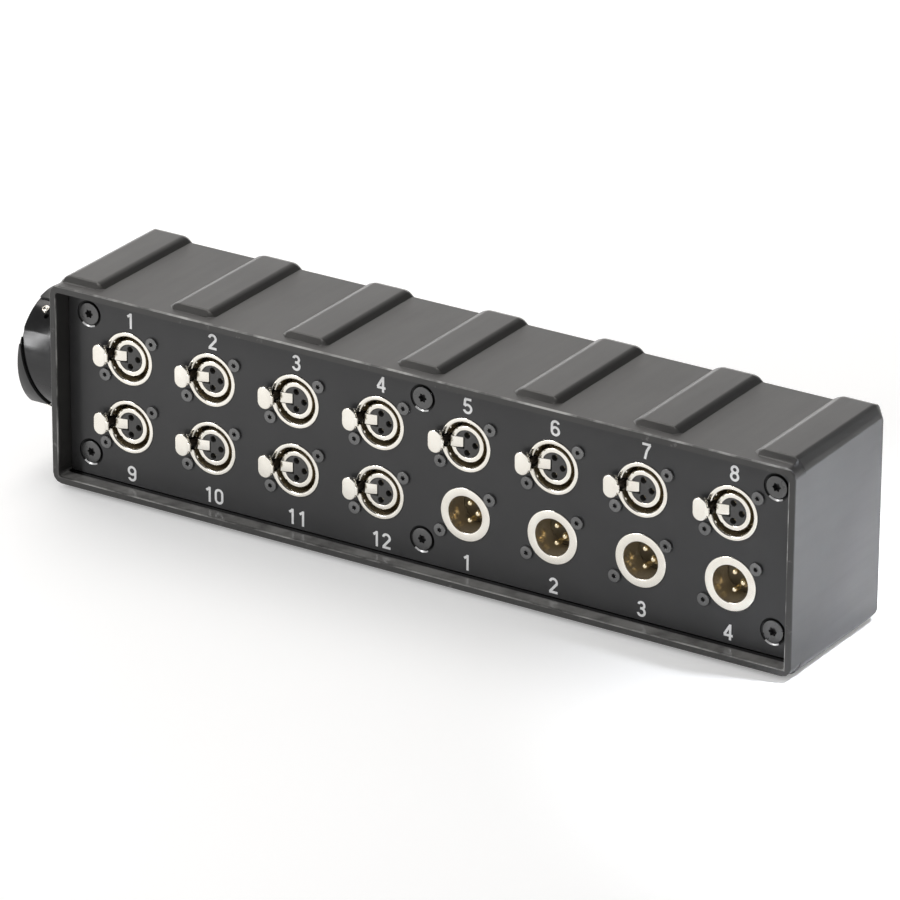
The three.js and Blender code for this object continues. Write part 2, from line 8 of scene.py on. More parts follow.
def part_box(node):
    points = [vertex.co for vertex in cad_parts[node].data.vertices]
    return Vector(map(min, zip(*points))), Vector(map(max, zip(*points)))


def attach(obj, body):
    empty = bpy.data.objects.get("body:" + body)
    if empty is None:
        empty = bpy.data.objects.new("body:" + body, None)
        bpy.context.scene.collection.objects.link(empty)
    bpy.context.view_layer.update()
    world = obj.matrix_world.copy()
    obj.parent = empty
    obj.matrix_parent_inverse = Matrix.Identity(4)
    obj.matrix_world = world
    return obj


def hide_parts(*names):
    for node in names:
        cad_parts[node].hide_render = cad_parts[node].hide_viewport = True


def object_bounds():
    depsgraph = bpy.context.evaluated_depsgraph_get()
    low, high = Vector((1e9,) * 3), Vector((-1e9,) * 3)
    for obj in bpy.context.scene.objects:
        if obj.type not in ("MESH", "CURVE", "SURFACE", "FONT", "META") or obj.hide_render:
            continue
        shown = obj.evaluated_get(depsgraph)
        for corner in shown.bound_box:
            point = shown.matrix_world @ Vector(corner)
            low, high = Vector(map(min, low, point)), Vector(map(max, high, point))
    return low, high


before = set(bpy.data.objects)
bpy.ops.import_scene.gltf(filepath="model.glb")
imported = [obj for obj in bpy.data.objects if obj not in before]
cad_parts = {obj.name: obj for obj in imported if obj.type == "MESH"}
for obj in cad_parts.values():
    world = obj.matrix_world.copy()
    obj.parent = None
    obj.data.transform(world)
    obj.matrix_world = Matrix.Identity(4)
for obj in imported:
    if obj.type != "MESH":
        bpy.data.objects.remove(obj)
mm = 0.001
overrun = 1 * mm  # how far a cutter or a hidden foot goes past a face
tiny = 1e-6  # what two places may differ by and still count as one
cadBox = [list(corner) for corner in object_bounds()]
bodyLow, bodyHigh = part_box("rubber_housing")
panelLow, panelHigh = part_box("front_panel")
panelFace = panelLow.y
middleHeight = (panelLow.z + panelHigh.z) / 2


# Lengths given in millimetres, for a piece's dictionary
def millimetres(**lengths):
    return {name: length * mm for name, length in lengths.items()}


# Where the middle of a node lies on the panel's face
def frontCentre(name):
    low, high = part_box(name)
    return Vector(((low.x + high.x) / 2, panelFace, (low.z + high.z) / 2))


connectors = {name.removesuffix("_insert"): frontCentre(name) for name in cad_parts
              if name.startswith("xlr_") and name.endswith("_insert")}
print("frame loaded:", len(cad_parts), "nodes,", len(connectors), "XLR connectors")


# Finishes

def startFinish(name):
    finish = bpy.data.materials.new(name)
    finish.use_nodes = True
    tree = finish.node_tree
    return finish, tree, tree.nodes["Principled BSDF"]


def addNoise(tree, scale, detail=4.0, roughness=0.55, stretch=(1, 1, 1)):
    place = tree.nodes.new("ShaderNodeTexCoord")
    turn = tree.nodes.new("ShaderNodeMapping")
    turn.inputs["Scale"].default_value = stretch
    noise = tree.nodes.new("ShaderNodeTexNoise")
    noise.inputs["Scale"].default_value = scale
    noise.inputs["Detail"].default_value = detail
    noise.inputs["Roughness"].default_value = roughness
    tree.links.new(place.outputs["Object"], turn.inputs["Vector"])
    tree.links.new(turn.outputs["Vector"], noise.inputs["Vector"])
    return noise.outputs["Fac"]


def addRamp(tree, factor, stops):
    ramp = tree.nodes.new("ShaderNodeValToRGB")
    first, last = ramp.color_ramp.elements
    for element, (place, colour) in zip((first, last), (stops[0], stops[-1])):
        element.position, element.color = place, (*colour, 1)
    for place, colour in stops[1:-1]:
        ramp.color_ramp.elements.new(place).color = (*colour, 1)
    tree.links.new(factor, ramp.inputs["Fac"])
    return ramp.outputs["Color"]


def addSpread(tree, factor, low, high, fromLow=0.3, fromHigh=0.7):
    spread = tree.nodes.new("ShaderNodeMapRange")
    for socket, value in (("From Min", fromLow), ("From Max", fromHigh), ("To Min", low), ("To Max", high)):
        spread.inputs[socket].default_value = value
    tree.links.new(factor, spread.inputs["Value"])
    return spread.outputs["Result"]


def addBump(tree, shader, height, strength, distance):
    bump = tree.nodes.new("ShaderNodeBump")
    bump.inputs["Strength"].default_value = strength
    bump.inputs["Distance"].default_value = distance
    tree.links.new(height, bump.inputs["Height"])
    tree.links.new(bump.outputs["Normal"], shader.inputs["Normal"])


metal = {"cloud": (90, 3), "wear": (400, 5), "grainDetail": 2, "grainDepth": 0.05 * mm}
plain = {"cloud": (60, 5), "wear": (240, 4), "grainDetail": 3, "grainDepth": 0.1 * mm}
# Kind, darkest and lightest colour, roughness, scale and strength of the grain, and how metallic it is
finishFacts = {
    "satinPanel": (plain, (0.028, 0.028, 0.029), (0.034, 0.034, 0.035), (0.36, 0.46), 5200, 0.06, 0.1),
    "blackenedSteel": (plain, (0.09, 0.09, 0.09), (0.135, 0.135, 0.135), (0.26, 0.40), 3000, 0.12, 0.7),
    "darkenedSteel": (plain, (0.13, 0.13, 0.13), (0.19, 0.19, 0.19), (0.28, 0.42), 3000, 0.12, 0.7),
    # Painted shade: near black for the countersinks
    "shadedSink": (plain, (0.006, 0.006, 0.006), (0.012, 0.012, 0.012), (0.5, 0.65), 2600, 0.05, 0),
    # Painted highlight: a light, plain copy of metal for the lit arc of the countersinks
    "paintedLitEdge": (plain, (0.72, 0.72, 0.72), (0.86, 0.86, 0.86), (0.22, 0.32), 2400, 0.02, 0.3),
    "satinNickel": (metal, (0.83, 0.795, 0.72), (0.92, 0.89, 0.82), (0.16, 0.26), 2400, 0.02, 1),
    "goldContact": (metal, (0.84, 0.72, 0.48), (0.92, 0.82, 0.60), (0.14, 0.24), 2400, 0.02, 1),
    # Painted reflection and shade: a darker, warmer copy of nickel for the male connectors' bores
    "polishedBore": (plain, (0.58, 0.50, 0.36), (0.70, 0.61, 0.46), (0.14, 0.22), 2400, 0.01, 0.75),
    "shadedGroove": (plain, (0.36, 0.29, 0.17), (0.46, 0.38, 0.24), (0.2, 0.3), 2400, 0.01, 0.75),
    # Painted shade: a dark brown copy of steel for the latch arm, which sits in shade
    "brownedSteel": (plain, (0.05, 0.04, 0.03), (0.08, 0.065, 0.05), (0.35, 0.45), 2400, 0.1, 0.5),
    "brownHolder": (plain, (0.095, 0.078, 0.05), (0.135, 0.112, 0.074), (0.3, 0.42), 3800, 0.1, 0),
    "contactHolder": (plain, (0.045, 0.044, 0.043), (0.07, 0.069, 0.067), (0.35, 0.5), 3800, 0.1, 0),
    "blackAnodised": (plain, (0.028, 0.028, 0.029), (0.042, 0.042, 0.043), (0.14, 0.22), 2600, 0.03, 0.4),
    "couplingBlack": (plain, (0.035, 0.035, 0.035), (0.05, 0.05, 0.05), (0.34, 0.46), 2600, 0.08, 0),
    "cableJacket": (plain, (0.03, 0.03, 0.031), (0.05, 0.05, 0.052), (0.5, 0.65), 900, 0.3, 0),
}


def makeFinish(name, kind, dark, light, roughness, grainScale, grain, metallic):
    finish, tree, shader = startFinish(name)
    shader.inputs["Metallic"].default_value = metallic
    tone = addRamp(tree, addNoise(tree, *kind["cloud"]), [(0.3, dark), (0.7, light)])
    tree.links.new(tone, shader.inputs["Base Color"])
    tree.links.new(addSpread(tree, addNoise(tree, *kind["wear"]), *roughness), shader.inputs["Roughness"])
    addBump(tree, shader, addNoise(tree, grainScale, kind["grainDetail"]), grain, kind["grainDepth"])
    return finish


# One maths node; each value is a number or another node's output
def calculate(tree, operation, *values):
    step = tree.nodes.new("ShaderNodeMath")
    step.operation = operation
    for socket, value in zip(step.inputs, values):
        if isinstance(value, float):
            socket.default_value = value
        else:
            tree.links.new(value, socket)
    return step.outputs[0]


def multiply(tree, product, *factors):
    for factor in factors:
        product = calculate(tree, "MULTIPLY", product, factor)
    return product


# Masks that go from none to full, or from full to none, over a width from a start
def addRise(tree, value, start, width):
    return addSpread(tree, value, 0, 1, start, start + width)


def addFall(tree, value, start, width):
    return addSpread(tree, value, 1, 0, start, start + width)


def addLayer(tree, tone, colour, factor):
    mix = tree.nodes.new("ShaderNodeMix")
    mix.data_type = "RGBA"
    mix.inputs["B"].default_value = (*colour, 1)
    tree.links.new(factor, mix.inputs["Factor"])
    tree.links.new(tone, mix.inputs["A"])
    return mix.outputs["Result"]


# The cloud and streaks are noise facts; patches are noise facts and the spread that is made of them
rubber = {
    "dark": (0.028, 0.027, 0.026), "light": (0.042, 0.041, 0.039), "cloud": (22, 6, 0.6),
    "streaks": (140, 4, 0.6, (1, 0.12, 1)), "roughness": (0.33, 0.39), "grain": (2600, 2),
    "grainStrength": 0.10, "grainDepth": 0.08 * mm,
    "ledgeTop": 5.7 * mm, "ledgeUnder": 4 * mm, "ledgeFront": 0.5 * mm, "ledgeFade": 0.7 * mm,
    # The ledge's lighter patches are dust and painted light; the near-black band at its back is a painted
    # shade; the pale band along the front edges is a painted highlight
    "ledgeGloss": 0.3, "dustAndPaintedLight": (0.27, 0.265, 0.255), "dustAndPaintedLightPatches": ((90, 5), (0.4, 1, 0.3, 0.6)),
    "paintedShade": (0.003, 0.003, 0.003), "paintedShadeReach": 3.2 * mm,
    "paintedEdgeHighlight": (0.42, 0.415, 0.40), "paintedEdgeHighlightPatches": ((60, 5), (0.1, 1, 0.40, 0.60)),
    "edgeReach": 0.5 * mm, "edgeFadeShare": 0.4, "edgeTop": 3 * mm, "frontTop": 93.2 * mm,
    "scuff": (0.17, 0.165, 0.16), "scuffPatches": ((170, 8, 0.75), (0, 1, 0.60, 0.74)),
    "scuffReach": 0.3 * mm, "scuffFade": 1.1 * mm,
}


def addPatches(tree, facts):
    noise, spread = facts
    return addSpread(tree, addNoise(tree, *noise), *spread)


# Moulded rubber: cloudy tone, fine grain and streaks, a glossy ledge with dust and painted light in patches
# and a painted shade at its back, painted highlights along the front edges and scuffs along the front rim
def makeRubber():
    size = rubber
    finish, tree, shader = startFinish("mouldedRubber")
    tone = addRamp(tree, addNoise(tree, *size["cloud"]), [(0.3, size["dark"]), (0.7, size["light"])])
    place = tree.nodes.new("ShaderNodeTexCoord")
    split = tree.nodes.new("ShaderNodeSeparateXYZ")
    tree.links.new(place.outputs["Object"], split.inputs["Vector"])
    across = calculate(tree, "ABSOLUTE", split.outputs["X"])
    depth, height = split.outputs["Y"], split.outputs["Z"]
    onLedge = multiply(
        tree,
        addFall(tree, height, size["ledgeTop"], mm),
        addRise(tree, height, size["ledgeUnder"], mm / 2),
        addFall(tree, across, panelHigh.x, mm / 2),
        addRise(tree, depth, bodyLow.y + size["ledgeFront"], size["ledgeFade"]),
        addFall(tree, depth, panelFace + mm, mm),
    )
    # Lighter patches on the ledge: dust and painted light
    tone = addLayer(tree, tone, size["dustAndPaintedLight"], multiply(tree, onLedge, addPatches(tree, size["dustAndPaintedLightPatches"])))
    # Painted shade: the back of the ledge, next to the panel, is darkened to near black
    inCorner = addRise(tree, depth, panelFace - size["paintedShadeReach"], mm)
    tone = addLayer(tree, tone, size["paintedShade"], multiply(tree, onLedge, inCorner))
    # Painted highlight: a pale band, in patches, along the recess edges and the top front edge
    past = calculate(tree, "SUBTRACT", across, panelHigh.x)
    fromMiddle = calculate(tree, "ABSOLUTE", calculate(tree, "SUBTRACT", height, middleHeight))
    over = calculate(tree, "SUBTRACT", fromMiddle, (panelHigh.z - panelLow.z) / 2)
    fromRecess = calculate(tree, "ABSOLUTE", calculate(tree, "MAXIMUM", past, over))
    reach = size["edgeReach"]
    fade = size["edgeFadeShare"] * reach
    inner = multiply(tree, addFall(tree, fromRecess, reach, fade),
                     addFall(tree, height, panelHigh.z - size["edgeTop"], mm))
    upper = addRise(tree, height, size["frontTop"] - reach - fade, fade)
    paintedEdgeHighlight = multiply(tree, addFall(tree, depth, bodyLow.y + reach, reach),
                      calculate(tree, "MAXIMUM", inner, upper), addPatches(tree, size["paintedEdgeHighlightPatches"]))
    tone = addLayer(tree, tone, size["paintedEdgeHighlight"], paintedEdgeHighlight)
    scuffs = multiply(tree, addFall(tree, depth, bodyLow.y + size["scuffReach"], size["scuffFade"]),
                      addPatches(tree, size["scuffPatches"]))
    tree.links.new(addLayer(tree, tone, size["scuff"], scuffs), shader.inputs["Base Color"])
    roughness = addSpread(tree, addNoise(tree, *size["streaks"]), *size["roughness"])
    gloss = addSpread(tree, onLedge, 1, size["ledgeGloss"], 0, 1)
    tree.links.new(multiply(tree, roughness, gloss), shader.inputs["Roughness"])
    addBump(tree, shader, addNoise(tree, *size["grain"]), size["grainStrength"], size["grainDepth"])
    return finish


ink = {"speck": (1500, 3), "dull": (0.80, 0.80, 0.80), "clear": (0.92, 0.92, 0.92), "roughness": 0.5}


def makeInk():
    finish, tree, shader = startFinish("whiteInk")
    tone = addRamp(tree, addNoise(tree, *ink["speck"]), [(0.25, ink["dull"]), (0.6, ink["clear"])])
    tree.links.new(tone, shader.inputs["Base Color"])
    shader.inputs["Roughness"].default_value = ink["roughness"]
    return finish


finishes = {name: makeFinish(name, *facts) for name, facts in finishFacts.items()}
finishes["mouldedRubber"] = makeRubber()
finishes["whiteInk"] = makeInk()
print("finishes made:", len(finishes))


# Shared ways of shaping

def roundEdges(bm, edges, width, segments, clamped=False):
    bmesh.ops.bevel(bm, geom=edges, offset=width, offset_type="OFFSET", segments=segments, profile=0.5,
                    affect="EDGES", clamp_overlap=clamped, material=-1)


def softenEdges(bm, width, segments=2, leastAngle=30):
    edges = [e for e in bm.edges if e.is_manifold and e.calc_face_angle(0) > math.radians(leastAngle)]
    roundEdges(bm, edges, width, segments, clamped=True)


# A turned piece about the depth axis; each point is (radius, depth behind the panel face)
def spinPiece(bm, profile, steps, turn=2 * math.pi, start=0.0):
    verts = [bm.verts.new((radius, depth, 0)) for radius, depth in profile]
    closed = abs(profile[0][0]) > tiny
    pairs = list(zip(verts, verts[1:])) + ([(verts[-1], verts[0])] if closed else [])
    edges = [bm.edges.new(pair) for pair in pairs]
    bmesh.ops.rotate(bm, verts=verts, cent=(0, 0, 0), matrix=Matrix.Rotation(start, 3, "Y"))
    whole = abs(turn - 2 * math.pi) < tiny
    bmesh.ops.spin(bm, geom=verts + edges, cent=(0, 0, 0), axis=(0, 1, 0), dvec=(0, 0, 0), angle=turn,
                   steps=steps, use_merge=whole, use_duplicate=False)
    bmesh.ops.remove_doubles(bm, verts=bm.verts, dist=tiny / 10)
    if not whole:
        bmesh.ops.holes_fill(bm, edges=[e for e in bm.edges if e.is_boundary], sides=0)
    bmesh.ops.recalc_face_normals(bm, faces=bm.faces)


def spunMesh(profile, steps, soft=0.0, softSegments=2):
    bm = bmesh.new()
    spinPiece(bm, profile, steps)
    if soft:
        softenEdges(bm, soft, softSegments)
    return bm


def rodMesh(radius, top, foot, steps, soft=0.0):
    return spunMesh([(0, top), (radius, top), (radius, foot), (0, foot)], steps, soft)


def tubeMesh(inner, outer, top, foot, steps, soft=0.0):
    return spunMesh([(inner, top), (outer, top), (outer, foot), (inner, foot)], steps, soft)


# A block between two corners, with softened edges
def blockMesh(low, high, soft=0.0, softSegments=2):
    bm = bmesh.new()
    bmesh.ops.create_cube(bm, size=1)
    size = [b - a for a, b in zip(low, high)]
    bmesh.ops.scale(bm, verts=bm.verts, vec=size)
    bmesh.ops.translate(bm, verts=bm.verts, vec=[a + s / 2 for a, s in zip(low, size)])
    if soft:
        softenEdges(bm, soft, softSegments)
    return bm


def absorb(bm, other):
    spare = bpy.data.meshes.new("spare")
    other.to_mesh(spare)
    other.free()
    bm.from_mesh(spare)
    bpy.data.meshes.remove(spare)


def loopEdges(verts):
    inLoop = set(verts)
    return list({e for v in verts for e in v.link_edges if e.other_vert(v) in inLoop})


def addObject(name, data):
    added = bpy.data.objects.new(name, data)
    bpy.context.scene.collection.objects.link(added)
    return added


def toObject(bm, name):
    mesh = bpy.data.meshes.new(name)
    bm.to_mesh(mesh)
    bm.free()
    return addObject(name, mesh)


# Takes cutters out of a mesh with an exact boolean and gives the result back as a bmesh
def cutAway(bm, cutters):
    piece = toObject(bm, "cutting")
    for cutter in cutters:
        tool = toObject(cutter, "cutter")
        cut = piece.modifiers.new("cut", "BOOLEAN")
        cut.operation, cut.solver, cut.object = "DIFFERENCE", "EXACT", tool
    bpy.context.view_layer.update()
    shown = piece.evaluated_get(bpy.context.evaluated_depsgraph_get())
    result = bmesh.new()
    result.from_mesh(shown.to_mesh())
    shown.to_mesh_clear()
    for spare in [m.object for m in piece.modifiers] + [piece]:
        bpy.data.objects.remove(spare)
    return result


# Makes a bmesh a finished piece; faces with material index 1 get the second finish
def finishPiece(bm, name, finishNames, nodes=(), body="root", smoothAngle=32):
    piece = toObject(bm, name)
    for finishName in finishNames.split():
        piece.data.materials.append(finishes[finishName])
    piece.data.shade_smooth()
    piece.data.set_sharp_from_angle(angle=math.radians(smoothAngle))
    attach(piece, body)
    if nodes:
        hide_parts(*nodes)
    return piece


# A copy of a shaped master, moved to its place
def copyAt(master, place):
    bm = master.copy()
    bmesh.ops.translate(bm, verts=bm.verts, vec=place)
    return bm


def turned(bm, degrees, axis):
    turn = Matrix.Rotation(math.radians(degrees), 3, axis)
    bmesh.ops.rotate(bm, verts=bm.verts, cent=(0, 0, 0), matrix=turn)
    return bm


# Anticlockwise as the panel's front shows it
def turnedAbout(bm, degrees):
    return turned(bm, -degrees, "Y")


def circleLoop(bm, centre, radius, segments):
    facing = Matrix.Translation(centre) @ Matrix.Rotation(math.radians(90), 4, "X")
    made = bmesh.ops.create_circle(bm, cap_ends=False, radius=radius, segments=segments, matrix=facing)
    return made["verts"]


def newVerts(made):
    return [v for v in made["geom"] if isinstance(v, bmesh.types.BMVert)]


# A plate with rounded corners; each hole is (centre, radius, segments)
def plateMesh(width, height, thickness, corner, cornerSegments, centre, holes=()):
    bm = bmesh.new()
    facing = Matrix.Rotation(math.radians(90), 4, "X")
    bmesh.ops.create_grid(bm, x_segments=1, y_segments=1, size=0.5, matrix=facing)
    bmesh.ops.scale(bm, verts=bm.verts, vec=(width, 1, height))
    bmesh.ops.bevel(bm, geom=bm.verts, offset=corner, offset_type="OFFSET", segments=cornerSegments,
                    profile=0.5, affect="VERTICES", material=-1)
    bmesh.ops.translate(bm, verts=bm.verts, vec=centre)
    if holes:
        bmesh.ops.delete(bm, geom=bm.faces[:], context="FACES_ONLY")
        for place, radius, segments in holes:
            circleLoop(bm, place, radius, segments)
        bmesh.ops.triangle_fill(bm, use_beauty=True, use_dissolve=False, edges=bm.edges[:], normal=(0, -1, 0))
    pushed = bmesh.ops.extrude_face_region(bm, geom=bm.faces[:])
    bmesh.ops.translate(bm, verts=newVerts(pushed), vec=(0, thickness, 0))
    bmesh.ops.recalc_face_normals(bm, faces=bm.faces)
    return bm


# Node name, number and centre of the connectors of one kind
def connectorsOf(kind):
    return [(name, name.split("_")[-1], centre) for name, centre in connectors.items()
            if name.startswith(f"xlr_{kind}_")]


# Housing

housing = {
    **millimetres(mergeGap=0.002, alignGap=0.1, shoulder=1.7, backCorner=7, edge=0.6, long=5, short=1.5),
    "flatAngle": 1.0, "smoothAngle": 33, "shoulderSegments": 4, "shoulderAngles": (31, 49),
    "edgeSegments": 3, "edgeAngles": (31, 120),
}


# The edges folded by an angle in the range: all long ones, and shorter ones between two depths
def foldedEdges(bm, angles, fromDepth, toDepth):
    low, high = [math.radians(angle) for angle in angles]
    folded = []
    for e in bm.edges:
        between = all(fromDepth < v.co.y < toDepth for v in e.verts)
        least = housing["short"] if between else housing["long"]
        if e.is_manifold and low < e.calc_face_angle(0) < high and e.calc_length() > least:
            folded.append(e)
    return folded


def buildHousing():
    size = housing
    bm = bmesh.new()
    bm.from_mesh(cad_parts["rubber_housing"].data)
    bmesh.ops.remove_doubles(bm, verts=bm.verts, dist=size["mergeGap"])
    bmesh.ops.dissolve_limit(bm, angle_limit=math.radians(size["flatAngle"]), use_dissolve_boundaries=False,
                             verts=bm.verts, edges=bm.edges)
    folded = foldedEdges(bm, size["shoulderAngles"], bodyHigh.y - size["backCorner"], bodyHigh.y + overrun)
    shoulders = [e for e in folded if e.is_convex
                 and abs(e.verts[0].co.x - e.verts[1].co.x) < size["alignGap"]]
    roundEdges(bm, shoulders, size["shoulder"], size["shoulderSegments"])
    creases = foldedEdges(bm, size["edgeAngles"], bodyLow.y - overrun, bodyLow.y + size["alignGap"])
    roundEdges(bm, creases, size["edge"], size["edgeSegments"])
    moulding = finishPiece(bm, "housingMoulding", "mouldedRubber", ["rubber_housing"],
                           smoothAngle=size["smoothAngle"])
    flatten = moulding.modifiers.new("flatFaces", "WEIGHTED_NORMAL")
    flatten.keep_sharp = True


buildHousing()
print("housing made")


# Panel

panel = {
    **millimetres(cornerRadius=1.6, connectorHole=12.1, smallHole=1.8, sinkRadius=6.0, sinkThroat=2.3,
                  sinkLip=0.7, brightInset=0.6, brightDepth=0.5),
    "cornerSegments": 6, "smallScrewAt": (12 * mm, 9.5 * mm), "holeSegments": 48, "smallHoleSegments": 16,
    "thickness": panelHigh.y - panelLow.y, "sinkSlope": 0.2, "brightFrom": -62, "brightTurn": 66,
    "brightSteps": 12,
}


def panelScrewPlaces():
    return [frontCentre(name) for name in sorted(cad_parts) if name.startswith("panel_screw_")]


def smallScrewPlaces(centre):
    x, z = panel["smallScrewAt"]
    return [centre + Vector((x, 0, z)), centre - Vector((x, 0, z))]


def buildPanel():
    size = panel
    holes = [(place, size["sinkRadius"], size["holeSegments"]) for place in panelScrewPlaces()]
    for centre in connectors.values():
        holes.append((centre, size["connectorHole"], size["holeSegments"]))
        holes += [(place, size["smallHole"], size["smallHoleSegments"]) for place in smallScrewPlaces(centre)]
    middle = ((panelLow.x + panelHigh.x) / 2, panelFace, middleHeight)
    plate = plateMesh(panelHigh.x - panelLow.x, panelHigh.z - panelLow.z, size["thickness"],
                      size["cornerRadius"], size["cornerSegments"], middle, holes)
    finishPiece(plate, "panelPlate", "satinPanel", ["front_panel"])


# Countersinks in a near-black painted shade, with a painted highlight: a light arc at the foot of their edge
def buildSinks():
    size = panel
    lip, outer, back = size["sinkLip"], size["sinkRadius"], size["thickness"]
    sink = spunMesh([(outer, 0), (outer - lip * size["sinkSlope"], lip), (size["sinkThroat"], back - lip / 2),
                     (size["sinkThroat"], back), (outer, back)], size["holeSegments"])
    deep = size["brightDepth"]
    arc, sinks, arcs = bmesh.new(), bmesh.new(), bmesh.new()
    spinPiece(arc, [(outer, 0), (outer - size["brightInset"], deep), (outer, deep)], size["brightSteps"],
              math.radians(size["brightTurn"]), -math.radians(size["brightFrom"]))
    for place in panelScrewPlaces():
        absorb(sinks, copyAt(sink, place))
        absorb(arcs, copyAt(arc, place))
    finishPiece(sinks, "panelSinks", "shadedSink")
    finishPiece(arcs, "panelSinkPaintedHighlight", "paintedLitEdge")


buildPanel()
buildSinks()
print("panel made")


# Screws with a rounded head and a six-lobed socket

screwShape = {"lobes": 6, "rimAngle": 50, "rimShare": 0.9, "rimSteps": 3}
panelScrew = {
    **millimetres(headRadius=4.8, headTop=-0.15, rimHeight=0.5, neckRadius=2, neckDepth=3, length=15,
                  socketRadius=1.75, socketDepth=2.6, soft=0.25),
    "lobeShare": 0.16, "segments": 48,
}
smallScrew = {
    **millimetres(headRadius=2.8, headTop=-1.0, rimHeight=0.9, neckRadius=1.45, neckDepth=0.05, length=5,
                  socketRadius=1.0, socketDepth=1.5, soft=0.22),
    "lobeShare": 0.2, "segments": 36, "turns": (10, 35),
}


def screwMesh(size):
    bm = bmesh.new()
    top = Vector((0, size["headTop"], 0))
    outer = circleLoop(bm, top, size["headRadius"], size["segments"])
    star = circleLoop(bm, top, size["socketRadius"], size["segments"])
    for v in star:
        lobe = 1 + size["lobeShare"] * math.cos(screwShape["lobes"] * math.atan2(v.co.z, v.co.x))
        v.co.x, v.co.z = v.co.x * lobe, v.co.z * lobe
    outerEdges, starEdges = loopEdges(outer), loopEdges(star)
    bmesh.ops.bridge_loops(bm, edges=outerEdges + starEdges)
    floorVerts = newVerts(bmesh.ops.extrude_edge_only(bm, edges=starEdges))
    bmesh.ops.translate(bm, verts=floorVerts, vec=(0, size["socketDepth"], 0))
    bmesh.ops.contextual_create(bm, geom=loopEdges(floorVerts))
    edges = outerEdges
    for radius, depth in ((size["headRadius"], size["headTop"] + size["rimHeight"]),
                          (size["neckRadius"], size["neckDepth"]), (size["neckRadius"], size["length"])):
        verts = newVerts(bmesh.ops.extrude_edge_only(bm, edges=edges))
        share = radius / max(Vector((v.co.x, 0, v.co.z)).length for v in verts)
        bmesh.ops.scale(bm, verts=verts, vec=(share, 1, share))
        bmesh.ops.translate(bm, verts=verts, vec=(0, depth - verts[0].co.y, 0))
        edges = loopEdges(verts)
    bmesh.ops.contextual_create(bm, geom=edges)
    bmesh.ops.recalc_face_normals(bm, faces=bm.faces)
    leastAngle, leastAway = math.radians(screwShape["rimAngle"]), screwShape["rimShare"] * size["headRadius"]
    rim = [e for e in bm.edges if e.is_manifold and e.calc_face_angle(0) > leastAngle
           and all(abs(v.co.y - size["headTop"]) < tiny and math.hypot(v.co.x, v.co.z) > leastAway
                   for v in e.verts)]
    roundEdges(bm, rim, size["soft"], screwShape["rimSteps"])
    return bm


def buildPanelScrews():
    master = screwMesh(panelScrew)
    for index, place in enumerate(panelScrewPlaces()):
        finishPiece(copyAt(master, place), f"panelScrew{index + 1}", "blackenedSteel",
                    [f"panel_screw_{index + 1}"])


def addSmallScrews(name, centre):
    bm = bmesh.new()
    for turn, place in zip(smallScrew["turns"], smallScrewPlaces(centre)):
        absorb(bm, copyAt(turnedAbout(smallScrewMaster.copy(), turn), place))
    finishPiece(bm, name, "darkenedSteel")


buildPanelScrews()
smallScrewMaster = screwMesh(smallScrew)
print("panel screws made")


# Female connectors

femaleShell = {
    **millimetres(ringRadius=11.95, ringProud=0.3, ringRound=0.8, grooveOuter=9.95, grooveDepth=12.5,
                  barrelOuter=8.0, bore=5.95, barrelSetback=0.9, depth=15.5, soft=0.35, notchHalf=3.0,
                  notchDepth=3, notchInner=9.35, notchSoft=0.5, neckSoft=0.25, tubeGap=1.7, tubeInner=9.0,
                  armHalf=2.5, armInner=1.3, armOuter=11.9, channelOuter=9.5, keyRadius=9.5, keyRoot=10.25,
                  keyWidth=1.1, keySetback=0.5, keySoft=0.15, slotInner=7.45, slotWidth=1.0, slotDepth=3,
                  finishGap=0.1),
    "ringRoundSteps": 6, "steps": 72, "softSteps": 3, "notchAngle": 40, "notchSoftSteps": 3,
    "neck": ((-12.9, -0.3, 2.7), (-9.9, 2.5, 3.7)), "keyAngles": (143, 217), "slotAngles": (128, 232),
}
flange = {
    **millimetres(width=31, height=26, thickness=2, front=3.3, corner=3, lap=0.2),
    "cornerSteps": 5, "holeSteps": 72,
}


# The square flange round its connector's tube
def flangeMesh(size, tubeRadius):
    centre = Vector((0, size["front"], 0))
    return plateMesh(size["width"], size["height"], size["thickness"], size["corner"], size["cornerSteps"],
                     centre, [(centre, tubeRadius - size["lap"], size["holeSteps"])])


# What is taken out of the turned shell: notch, gap and channel for the latch, and the slots in the barrel
def shellCutters():
    size = femaleShell
    through, half = size["depth"] + overrun, size["slotWidth"] / 2
    cutters = [blockMesh(low, high) for low, high in (
        ((-size["ringRadius"] - overrun, -overrun, -size["notchHalf"]),
         (-size["notchInner"], size["notchDepth"], size["notchHalf"])),
        ((-size["armOuter"], -overrun, -size["tubeGap"]), (-size["tubeInner"], through, size["tubeGap"])),
        ((-size["channelOuter"], -overrun, -size["armHalf"]), (-size["armInner"], through, size["armHalf"])),
    )]
    for degrees in size["slotAngles"]:
        slot = blockMesh((size["slotInner"], -overrun, -half),
                         (size["barrelOuter"] + overrun, size["slotDepth"], half))
        cutters.append(turnedAbout(slot, degrees))
    return cutters


